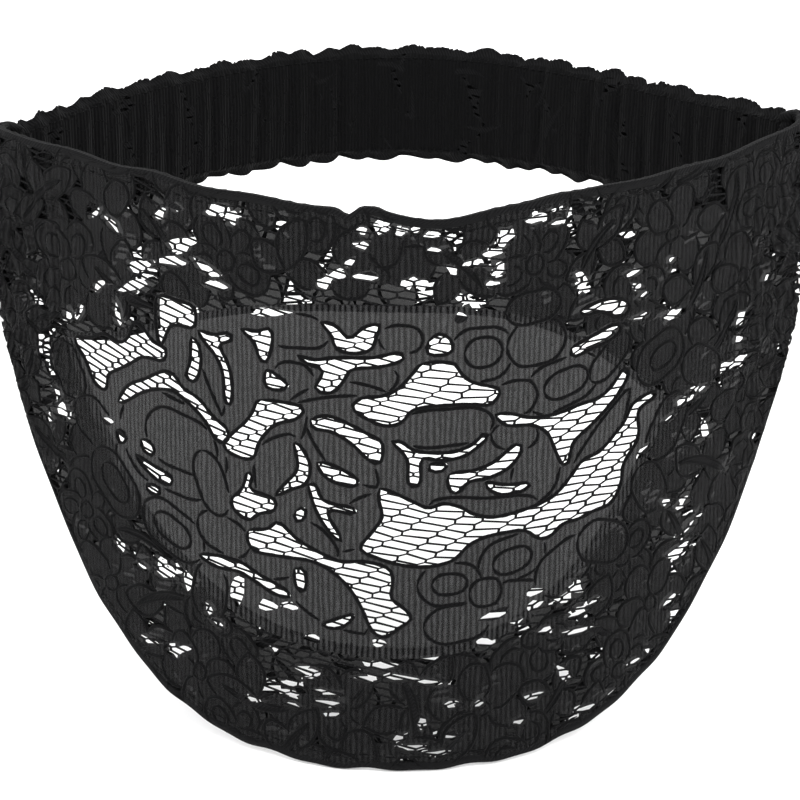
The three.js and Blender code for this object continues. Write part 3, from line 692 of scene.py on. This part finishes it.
def cord_lines(loops, covers=(), covered=0):
    """Petal outlines where nothing later covers them."""
    lines = []
    petals, edge = loops["petal"], loops["cloth"][0]
    near_net = [fattened(loop) for loop in loops["net"]]
    lows = np.array([loop.min(0) for loop in petals])
    highs = np.array([loop.max(0) for loop in petals])
    for k, loop in enumerate(petals):
        over = (lows < highs[k]).all(1) & (highs > lows[k]).all(1)
        over[: k + 1] = False
        hiding = [petals[m] for m in np.flatnonzero(over)] + near_net
        if k < covered:
            hiding += covers
        line = closed_line(loop)
        lines += runs_where(line, inside(line, edge) & ~in_any(line, hiding))
    return lines


def cords(name, lines, surface, depth, radius, thinning=0.0):
    """One mesh of round threads along flat lines, thinned by a share at the side seams."""
    points, faces, uvs = [], [], []
    start = 0
    turn = 2 * np.pi * np.arange(CORD_SIDES) / CORD_SIDES
    wheel = np.arange(CORD_SIDES)
    ahead = (wheel + 1) % CORD_SIDES
    quad = np.stack([wheel, ahead, CORD_SIDES + ahead, CORD_SIDES + wheel], -1)
    for line in lines:
        flat, at = resampled(line)
        centre = surface(flat, depth)
        out = surface(flat, depth - 0.2) - centre
        along = np.gradient(centre, axis=0)
        side = np.cross(along, out)
        out /= np.linalg.norm(out, axis=1, keepdims=True)
        side /= np.linalg.norm(side, axis=1, keepdims=True) + 1e-9
        size = radius * (1 - thinning * gathered_at(flat[:, 0])) * (1 + CORD_SWELL * np.sin(at * 2.9))
        size[[0, -1]] *= 0.5
        ring = out[:, None] * np.cos(turn)[:, None] + side[:, None] * np.sin(turn)[:, None]
        points.append((centre[:, None] + ring * size[:, None, None]).reshape(-1, 3))
        count = len(flat)
        v = np.tile(turn / (2 * np.pi) * 0.03, count)
        uvs.append(np.column_stack([np.repeat(at / UV_UNIT, CORD_SIDES), v]))
        here = start + np.arange(count - 1)[:, None, None] * CORD_SIDES
        faces += (here + quad).reshape(-1, 4).tolist()
        faces.append((start + wheel)[::-1].tolist())
        faces.append((start + (count - 1) * CORD_SIDES + wheel).tolist())
        start += count * CORD_SIDES
    slots = np.zeros(len(faces))
    return mesh_object(name, np.vstack(points), faces, slots, np.vstack(uvs), [CORD], True)


def running_stitch(line):
    """Short threads along a flat line."""
    along = lengths_along(line)
    dashes = []
    for start in np.arange(STITCH_GAP, along[-1] - STITCH_LENGTH, STITCH_LENGTH + STITCH_GAP):
        at = np.linspace(start, start + STITCH_LENGTH, 4)
        dashes.append(points_at(line, along, at))
    return dashes


def seam_stitches(name, rows, surface, depth):
    """Rows of running stitch, as one mesh."""
    dashes = [dash for row in rows for dash in running_stitch(row)]
    threads = cords(name, dashes, surface, depth, STITCH_RADIUS)


# Materials
def material(name, colour, roughness, alpha=1.0):
    mat = bpy.data.materials.new(name)
    mat.use_nodes = True
    shader = mat.node_tree.nodes["Principled BSDF"]
    shader.inputs["Base Color"].default_value = (*colour, 1)
    shader.inputs["Roughness"].default_value = roughness
    shader.inputs["Alpha"].default_value = alpha
    shader.inputs["Sheen Weight"].default_value = 0.02
    shader.inputs["Sheen Roughness"].default_value = 0.5
    shader.inputs["Specular IOR Level"].default_value = 0.08
    return mat, shader


def node(mat, kind, **inputs):
    made = mat.node_tree.nodes.new(kind)
    for key, value in inputs.items():
        made.inputs[key.replace("_", " ")].default_value = value
    return made


def lace_uv(mat):
    """The lace's own flat coordinates."""
    uv = mat.node_tree.nodes.new("ShaderNodeUVMap")
    uv.uv_map = "lace"
    return uv.outputs["UV"]


def uv_waves(mat, across_scale, down_scale, distortion, direction):
    """Bands over the flat lace."""
    links = mat.node_tree.links
    uv = lace_uv(mat)
    mapping = node(mat, "ShaderNodeMapping", Scale=(across_scale, down_scale, 1))
    wave = node(mat, "ShaderNodeTexWave", Scale=1.0, Distortion=distortion, Detail=2.0, Detail_Scale=1.5)
    wave.bands_direction = direction
    links.new(uv, mapping.inputs["Vector"])
    links.new(mapping.outputs["Vector"], wave.inputs["Vector"])
    return wave.outputs["Fac"]


def uv_specks(mat, scale):
    """Soft uneven specks over the flat lace."""
    uv = lace_uv(mat)
    noise = node(mat, "ShaderNodeTexNoise", Scale=scale, Detail=2.0, Roughness=0.6)
    mat.node_tree.links.new(uv, noise.inputs["Vector"])
    return noise.outputs["Fac"]


def ramped(mat, shader, fac, low, high):
    """The base colour, from low to high."""
    ramp = mat.node_tree.nodes.new("ShaderNodeValToRGB")
    ramp.color_ramp.elements[0].color = (*low, 1)
    ramp.color_ramp.elements[1].color = (*high, 1)
    mat.node_tree.links.new(fac, ramp.inputs["Fac"])
    mat.node_tree.links.new(ramp.outputs["Color"], shader.inputs["Base Color"])


def bumped(mat, shader, fac, strength, distance):
    bump = node(mat, "ShaderNodeBump", Strength=strength, Distance=distance)
    mat.node_tree.links.new(fac, bump.inputs["Height"])
    mat.node_tree.links.new(bump.outputs["Normal"], shader.inputs["Normal"])


def stitched_lace(name, dark, light, alpha):
    """Close stitch: uneven upright ribs, a little sheer."""
    mat, shader = material(name, dark, 0.85, alpha)
    ribs = uv_waves(mat, 24, 7, 3.2, "X")
    mottled = node(mat, "ShaderNodeMath")
    mottled.operation = "MULTIPLY"
    mat.node_tree.links.new(ribs, mottled.inputs[0])
    mat.node_tree.links.new(uv_specks(mat, 55), mottled.inputs[1])
    ramped(mat, shader, mottled.outputs[0], dark, light)
    bumped(mat, shader, ribs, 0.6, 0.0003)
    return mat


def thread(name, dark, light, roughness):
    """Twisted thread: slanting plies."""
    mat, shader = material(name, dark, roughness)
    plies = uv_waves(mat, 60, 60, 0.6, "DIAGONAL")
    ramped(mat, shader, plies, dark, light)
    bumped(mat, shader, plies, 0.5, 0.0002)
    return mat


# The panel's clear middle: the ribs are the weave, and their light tone is painted light showing through
# between them
PAINTED_LIGHT_STITCH = stitched_lace("panel_close_stitch_painted_light", (0.001, 0.001, 0.0011), (0.062, 0.062, 0.0635), 0.855)
# The same lace where a facing lies behind it, painted darker: painted shade for the light the facing keeps
# out
BACKED_PAINTED_SHADE_STITCH = stitched_lace("panel_backed_stitch_painted_shade", (0.004, 0.004, 0.0042), (0.024, 0.024, 0.0246), 0.845)
THREAD = thread("panel_net_thread", (0.003, 0.003, 0.0033), (0.008, 0.008, 0.0085), 0.9)
CORD = thread("outline_cord", (0.0015, 0.0015, 0.0017), (0.004, 0.004, 0.0044), 0.85)
FACING_STITCH = stitched_lace("facing_close_stitch", (0.001, 0.001, 0.0011), (0.022, 0.022, 0.0226), 0.82)
BAND_STITCH = stitched_lace("band_close_stitch", (0.002, 0.002, 0.0022), (0.005, 0.005, 0.0055), 1.0)
# The elastic's slanting weave, painted lighter than the casing so the shaded holes over it read less
# black: painted light
PAINTED_LIGHT_ELASTIC = thread("elastic_weave", (0.004, 0.004, 0.0043), (0.012, 0.012, 0.0125), 0.9)


# Front panel
def between(x, top, low):
    """The closed loop between two lines."""
    return np.vstack([np.column_stack([x, top]), np.column_stack([x, low])[::-1]])


def strip_outline(top, low):
    x = np.linspace(-SEAM_LENGTH, SEAM_LENGTH, int(2 * SEAM_LENGTH / OUTLINE_STEP))
    return between(x, top(x), low(x))


def edge_bands(outline):
    """Close stitch along a strip's upper and lower edges, and at both its ends."""
    width = EDGE_BAND
    count = len(outline) // 2
    top, low = outline[:count], outline[count:]
    bands = [np.vstack([top, top[::-1] + (0, width)]), np.vstack([low, low[::-1] - (0, width)])]
    for side in (-1, 1):
        x, inner = side * SEAM_LENGTH, side * (SEAM_LENGTH - width)
        bands.append(np.array([(x, 0), (x, SEAM_HEIGHT), (inner, SEAM_HEIGHT), (inner, 0)]))
    return bands


def strip_grid(outline):
    """Points that crowd towards the seams, where the pleats are."""
    middle = np.arange(0, DRAPE_START, GRID_STEP)
    ends = np.arange(DRAPE_START, SEAM_LENGTH, SEAM_GRID_STEP)
    half = np.concatenate([middle, ends]) + 0.4
    share = np.linspace(0.012, 0.988, GRID_ROWS)
    points = []
    for length in np.concatenate([-half, half]):
        points.append(np.column_stack([np.full(GRID_ROWS, length), share * height_at(length)]))
    points = np.vstack(points)
    return points[inside(points, outline)]


def rim_drop(length):
    """The rim's own line: nearly level, with the dips and bumps that wear gives lace."""
    drop = 0.25 * np.sin(length / 4.3) + 0.3 * np.sin(length / 13.0 + 1)
    for centre, width, depth in RIM_DIPS:
        drop = drop + depth * np.exp(-(((length - centre) / width) ** 2))
    return drop


def hem_drop(length):
    return height_at(length) + 0.3 * np.sin(length / 3.7) + 0.2 * np.sin(length / 1.9 + 2)


def clear_zone():
    """The middle of the panel, where no facing lies behind it."""
    x = np.linspace(-CLEAR_LEFT_LENGTH, CLEAR_RIGHT_LENGTH, 60)
    return between(x, rim_facing_drop(x) - 2, hem_facing_drop(x) + 2)


def front_panel(rng):
    outline = strip_outline(rim_drop, hem_drop)
    zone = clear_zone()
    flowers = allover(outline, FLOWER_PITCH, rng)
    bands = edge_bands(outline)
    petals = [row for row in flowers if not inside(outline_of(*row), zone).any()]
    covered = len(petals)
    petals += MIDDLE_PETALS
    loops = lace_loops(outline, petals, bands, NET_LOOPS + SPOT_LOOPS, NET_TILT, NET_SIZE, [zone])
    grid = strip_grid(outline)
    # Painted light in the clear middle, painted shade where a facing lies behind
    materials = [PAINTED_LIGHT_STITCH, THREAD, BACKED_PAINTED_SHADE_STITCH]
    panel = lace_sheet("front_panel_lace", loops, grid, panel_surface, PANEL_DEPTH, materials)
    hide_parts("front_panel")
    depth = PANEL_DEPTH + CLOTH / 2 - 0.1
    lines = cord_lines(loops, [zone], covered)
    net_lines = [closed_line(loop) for loop in NET_LOOPS]
    outlines = cords(
        "front_panel_cords", lines, panel_surface, depth, CORD_RADIUS, SEAM_CORD_SHARE
    )
    edging = cords("front_panel_net_edges", net_lines, panel_surface, depth, NET_CORD_RADIUS)
    panel_stitches()


def panel_stitches():
    x = np.linspace(STITCH_INSET - SEAM_LENGTH, SEAM_LENGTH - STITCH_INSET, 200)
    rows = [
        np.column_stack([x, rim_drop(x) + HEM_STITCH]),
        np.column_stack([x, hem_drop(x) - HEM_STITCH]),
    ]
    seam_stitches("front_panel_stitches", rows, panel_surface, PANEL_DEPTH)


# Facings
def clear_share(length):
    reach = np.where(np.asarray(length) < 0, CLEAR_LEFT_LENGTH, CLEAR_RIGHT_LENGTH)
    return np.minimum(np.abs(length) / reach, 1) ** CLEAR_POWER


def rim_facing_drop(length):
    share = clear_share(length)
    return (1 - share) * RIM_FACING_DEPTH + share * CLEAR_LEVEL * height_at(length) - FACING_GAP / 2


def hem_facing_drop(length):
    share = clear_share(length)
    start = FRONT_HEIGHT - HEM_FACING_DEPTH
    return (1 - share) * start + share * CLEAR_LEVEL * height_at(length) + FACING_GAP / 2


def facing(node_name, outline, rng):
    """A second layer of lace, opened where the panel in front of it is open."""
    petals = allover(outline, FLOWER_PITCH, rng)
    gaps = SPOT_LOOPS + [loop for loop in NET_LOOPS if inside(loop.mean(0)[None], outline)[0]]
    bands = edge_bands(outline)
    loops = lace_loops(outline, petals, bands, gaps, -NET_TILT, FACING_NET_SIZE)
    loops["cell"] += gaps
    cloths = [FACING_STITCH, THREAD]
    grid = strip_grid(outline)
    sheet = lace_sheet(node_name + "_lace", loops, grid, panel_surface, FACING_DEPTH, cloths)
    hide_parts(node_name)
    depth = FACING_DEPTH + CLOTH / 2 + 0.1
    lines = cord_lines(loops)
    edging = cords(
        node_name + "_cords", lines, panel_surface, depth, CORD_RADIUS, SEAM_CORD_SHARE
    )


def rim_facing(rng):
    facing("rim_facing", strip_outline(lambda x: rim_drop(x) + 0.3, rim_facing_drop), rng)


def hem_facing(rng):
    facing("hem_facing", strip_outline(hem_facing_drop, lambda x: hem_drop(x) - 0.3), rng)


# Folded edges, where the lace turns in to its facing
def lofted(name, rings, along, around, mat):
    """A closed tube through rings of points, capped at both ends."""
    count = len(rings[0])
    faces = []
    for i in range(len(rings) - 1):
        for k in range(count):
            n = (k + 1) % count
            faces.append([i * count + k, i * count + n, (i + 1) * count + n, (i + 1) * count + k])
    faces.append(list(range(count))[::-1])
    last = (len(rings) - 1) * count
    faces.append([last + k for k in range(count)])
    u = np.repeat(np.asarray(along) / UV_UNIT, count)
    v = np.tile(np.asarray(around) / UV_UNIT, len(rings))
    uvs = np.column_stack([u, v])
    slots = np.zeros(len(faces))
    return mesh_object(name, np.vstack(rings), faces, slots, uvs, [mat], True)


def fold_section(length, edge_drop, direction, share):
    """A round fold from the panel's outer face to the facing's inner face."""
    near, far = PANEL_DEPTH, FACING_DEPTH + CLOTH
    middle, radius = (near + far) / 2, (far - near) / 2 + 0.1
    swell = 1 + 0.12 * math.sin(length * 1.7) * math.sin(length / 5.3)
    turn = np.linspace(0, np.pi, 7)
    depths = middle - radius * swell * np.cos(turn)
    drops = edge_drop - direction * (radius * swell * np.sin(turn) - FOLD_INSET)
    legs_depth = np.array([far, near])
    legs_drop = np.full(2, edge_drop + direction * FOLD_LAP)
    pleat = float(pleat_at(np.array([length]), np.array([share]))[0])
    return np.concatenate([depths, legs_depth]) - pleat, np.concatenate([drops, legs_drop])


def fold(name, edge_at, direction, share):
    """A fold carried along one edge of the panel."""
    half = np.interp(np.linspace(0, SEAM_ANGLE, 150), PLAN_ANGLES, PLAN_LENGTHS)
    lengths = np.concatenate([-half[::-1], half[1:]])
    rings = []
    for length in lengths:
        depths, drops = fold_section(length, float(edge_at(length)), direction, share)
        ring = place(np.full(len(depths), length), drops, depths)
        rings.append(ring[::-direction])
    made = lofted(name, rings, lengths, np.arange(len(rings[0])), THREAD)


def folded_edges():
    fold("rim_fold", rim_drop, 1, 0.0)
    fold("hem_fold", hem_drop, -1, 1.0)


def seam_binding(name, side):
    """A drawn-up roll of thread over one joint between the panel and the back band."""
    drops = np.linspace(-0.2, SEAM_HEIGHT + 0.4, 70)
    turn = np.linspace(0, 2 * np.pi, SEAM_ROLL_SIDES + 1)[:-1]
    rings = []
    for drop in drops:
        end = min(drop + 0.5, SEAM_HEIGHT + 0.7 - drop)
        uneven = 1 + 0.15 * math.sin(1.9 * drop) + 0.1 * math.sin(4.3 * drop + side)
        size = min(1, math.sqrt(end)) * uneven
        lengths = side * (SEAM_LENGTH + BAND_GAP / 2) + SEAM_ROLL[0] * size * np.cos(turn)
        depths = SEAM_ROLL_DEPTH + SEAM_ROLL[1] * size * np.sin(turn)
        rings.append(place(lengths, np.full(SEAM_ROLL_SIDES, drop), depths)[::-1])
    made = lofted(name, rings, drops, 3 * turn, THREAD)


# Back band
def band_place(along, drop, inward):
    length = BAND_START + along
    length = np.where(length > HALF_LOOP, length - 2 * HALF_LOOP, length)
    return place(length, drop, inward)


def casing_surface(points, depth):
    """Flat casing points, up the outside, over the top frill and down the inside."""
    along, up = points[:, 0] / GATHER_RATIO, points[:, 1]
    outer = up < BAND_HEIGHT
    height = np.where(outer, up, 2 * BAND_HEIGHT - up) / BAND_HEIGHT
    side = np.where(outer, -1.0, 1.0)
    to_edge = np.minimum(height, 1 - height) * BAND_HEIGHT
    body = smooth((to_edge - 0.4 * FRILL_HEIGHT) / FRILL_HEIGHT)
    upper = np.where(height > 0.5, 1.0, -1.0)
    turn = 2 * np.pi * GATHERS * along / BAND_LENGTH
    wander = 1.5 * np.sin(along / 13.0 + 1.5 * height) + 0.9 * np.sin(along / 7.1 + 0.7)
    uneven = 0.7 + 0.3 * np.sin(along / 9.3 + 2.1) * np.sin(along / 31.0)
    big = uneven * (2 * np.abs(np.cos((turn + wander) / 2)) ** 0.9 - 1)
    fine = np.sin(1.7 * turn + 1.3 + 2 * height + side)
    puff = GATHER_DEPTH * (0.5 + 0.5 * big) + 0.25 * fine
    half = 0.3 * np.sqrt(np.clip(to_edge / 0.5, 0.05, 1)) + body * (
        CASING_DEPTH / 2 - 0.75 + puff * np.sin(np.pi * height) ** 0.5
    )
    frill = 1 - body
    lean = upper * frill * FRILL_WAVE * uneven * np.sin(turn + wander)
    rise = frill * FRILL_RISE * (big + 0.7 * np.sin(0.43 * turn + 2 * upper))
    drop = BAND_HEIGHT * (1 - height) - upper * rise
    inward = CASING_DEPTH / 2 + lean + side * (half - depth)
    return band_place(along, drop, inward)


def grid_points(outline, step_x, step_y):
    """Extra points inside a sheet, so that it can follow the surface."""
    low, high = outline.min(0), outline.max(0)
    x, y = np.meshgrid(
        np.arange(low[0] + step_x / 2, high[0], step_x),
        np.arange(low[1] + step_y / 2, high[1], step_y),
    )
    points = np.column_stack([x.ravel() + 0.013, y.ravel() + 0.017])
    return points[inside(points, outline)]


def band_strip(x, at, half):
    return between(x, 0 * x + at - half, 0 * x + at + half)


def back_casing(rng):
    flat_length = GATHER_RATIO * BAND_LENGTH
    total = 2 * BAND_HEIGHT
    x = np.linspace(0, flat_length, 260)
    outline = band_strip(x, BAND_HEIGHT, BAND_HEIGHT - 0.02)
    petals = allover(outline, CASING_FLOWER_PITCH, rng)
    bands = [band_strip(x, at, CASING_EDGE_BAND) for at in (0.0, BAND_HEIGHT, total)]
    loops = lace_loops(outline, petals, bands, [], 0.0, CASING_NET_SIZE)
    grid = grid_points(outline, *CASING_GRID_STEPS)
    cloths = [BAND_STITCH, THREAD]
    sheet = lace_sheet("back_casing_lace", loops, grid, casing_surface, 0.0, cloths, runs_up=True)
    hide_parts("back_casing")
    lines = cord_lines(loops, bands, len(petals))
    edging = cords("back_casing_cords", lines, casing_surface, CLOTH / 2, CASING_CORD_RADIUS)
    casing_stitches(x)


def casing_stitches(x):
    """Rows inside each frill, outside and inside the band."""
    total = 2 * BAND_HEIGHT
    low, high = FRILL_HEIGHT + CASING_STITCH, BAND_HEIGHT - FRILL_HEIGHT - CASING_STITCH
    heights = (low, high, total - high, total - low)
    rows = [np.column_stack([x, np.full(len(x), up)]) for up in heights]
    seam_stitches("back_casing_stitches", rows, casing_surface, 0.0)


def elastic_section():
    """A flat band's section with lengthwise ribs, as depths and drops."""
    drops = np.linspace(0, ELASTIC_HEIGHT, 49)
    ribs = 0.1 * np.abs(np.sin(np.pi * drops / 2.1))
    top = -ELASTIC_HIGH[2]
    near = (CASING_DEPTH - ELASTIC_THICKNESS) / 2
    outside = near + 0.1 - ribs
    inner = near + ELASTIC_THICKNESS - 0.1 + ribs
    return np.concatenate([outside, inner[::-1]]), np.concatenate([drops, drops[::-1]]) + top


def back_elastic():
    depths, drops = elastic_section()
    along = np.linspace(0.2, BAND_LENGTH - 0.2, 200)
    rings = [band_place(np.full(len(depths), a), drops, depths) for a in along]
    band = lofted("back_elastic_band", rings, along, drops, PAINTED_LIGHT_ELASTIC)
    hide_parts("back_elastic")


# Stage, light and camera
def floor():
    size = 6.0
    mesh = bpy.data.meshes.new("floor")
    corners = [(-size, -size, 0), (size, -size, 0), (size, size, 0), (-size, size, 0)]
    mesh.from_pydata(corners, [], [[0, 1, 2, 3]])
    obj = new_object("floor", mesh)
    obj.location = (0, 0, -(FRONT_HEIGHT + FLOOR_GAP) * MM)
    mat = bpy.data.materials.new("floor_white")
    mat.use_nodes = True
    shader = mat.node_tree.nodes["Principled BSDF"]
    shader.inputs["Base Color"].default_value = (0.92, 0.92, 0.92, 1)
    shader.inputs["Roughness"].default_value = 0.9
    mesh.materials.append(mat)


def area_light(name, place_at, size, power):
    data = bpy.data.lights.new(name, "AREA")
    data.size = size
    data.energy = power
    obj = new_object(name, data)
    obj.location = place_at
    aim = Vector((0, 0, -0.06)) - Vector(place_at)
    obj.rotation_euler = aim.to_track_quat("-Z", "Y").to_euler()


def lights():
    world = bpy.data.worlds.new("studio")
    world.use_nodes = True
    background = world.node_tree.nodes["Background"]
    background.inputs["Color"].default_value = (1, 1, 1, 1)
    background.inputs["Strength"].default_value = 1.0
    bpy.context.scene.world = world
    area_light("key", (0.55, -0.8, 0.9), 0.7, 14)
    area_light("fill", (-0.9, -0.5, 0.5), 0.9, 6)
    area_light("back", (0.1, 0.9, 0.7), 0.8, 8)
    bpy.context.scene.view_settings.view_transform = "Standard"


def camera():
    data = bpy.data.cameras.new("camera")
    data.lens = CAMERA_LENS
    data.sensor_width = 36
    data.clip_start = 0.01
    data.clip_end = 20
    obj = new_object("camera", data)
    obj.location = (
        CAMERA_SIDE * MM,
        -CAMERA_DISTANCE * math.cos(CAMERA_ELEVATION) * MM,
        CAMERA_DISTANCE * math.sin(CAMERA_ELEVATION) * MM,
    )
    tilt = Vector((0, math.cos(CAMERA_PITCH), -math.sin(CAMERA_PITCH))).to_track_quat("-Z", "Y")
    obj.rotation_euler = tilt.to_euler()
    obj.rotation_euler.rotate_axis("Z", CAMERA_ROLL)
    bpy.context.scene.camera = obj


rng = np.random.default_rng(SEED)
camera()
front_panel(rng)
rim_facing(rng)
hem_facing(rng)
folded_edges()
seam_binding("left_seam_roll", -1)
seam_binding("right_seam_roll", 1)
back_casing(rng)
back_elastic()
floor()
lights()
